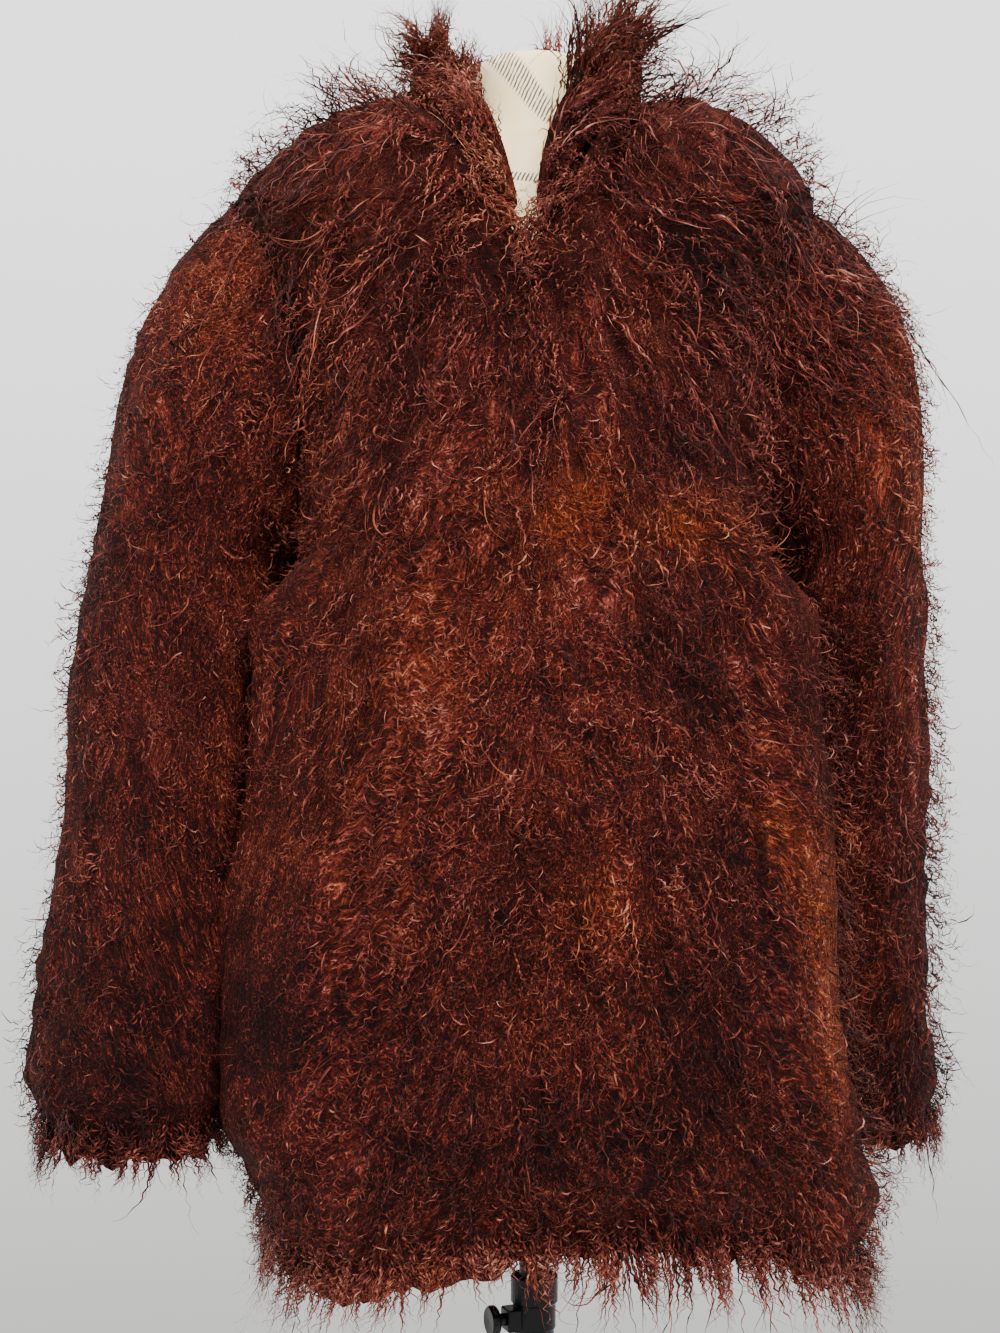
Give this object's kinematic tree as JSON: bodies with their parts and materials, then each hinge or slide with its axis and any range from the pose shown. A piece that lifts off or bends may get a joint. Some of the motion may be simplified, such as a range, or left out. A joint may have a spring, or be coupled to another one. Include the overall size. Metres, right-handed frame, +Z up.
{
  "type": "fur coat on a limbless dress form",
  "caption": "Hip-length coat of long crimped lamb fur with a V neck and standing collar, closed down the front, worn by a limbless dress form on an adjustable pole.",
  "frame": {"origin": "centre of the base's flat underside, on the floor under the pole", "axes": "+Z up; the coat's front faces -Y; the wearer's left is +X"},
  "size_m": [0.6573, 0.3843, 1.4893],
  "materials": {
    "fur": "matte",
    "form_cover": "matte",
    "tube": "satin",
    "moulding": "gloss",
    "weight": "satin"
  },
  "bodies": {
    "stand": {"base": "weight", "pole": "tube", "clamp_cup": "moulding"},
    "mast": {"mast": "tube"},
    "figure": {"dress_form": "form_cover", "left_front": "fur", "right_front": "fur", "back": "fur", "left_sleeve": "fur", "right_sleeve": "fur", "collar": "fur"},
    "thumb_screw": {"clamp_screw": "moulding"}
  },
  "joints": [
    {"name": "height", "type": "slide", "parent": "stand", "child": "mast", "axis": [0, 0, 1], "range_m": [-0.12, 0.2]},
    {"name": "turn", "type": "hinge", "parent": "mast", "child": "figure", "pos_m": [0, 0, 0.8], "axis": [0, 0, 1], "continuous": true},
    {"name": "screw_turn", "type": "hinge", "parent": "stand", "child": "thumb_screw", "pos_m": [0, 0, 0.5855], "axis": [-0.9272, -0.3746, 0], "range_deg": [-360, 360]}
  ]
}
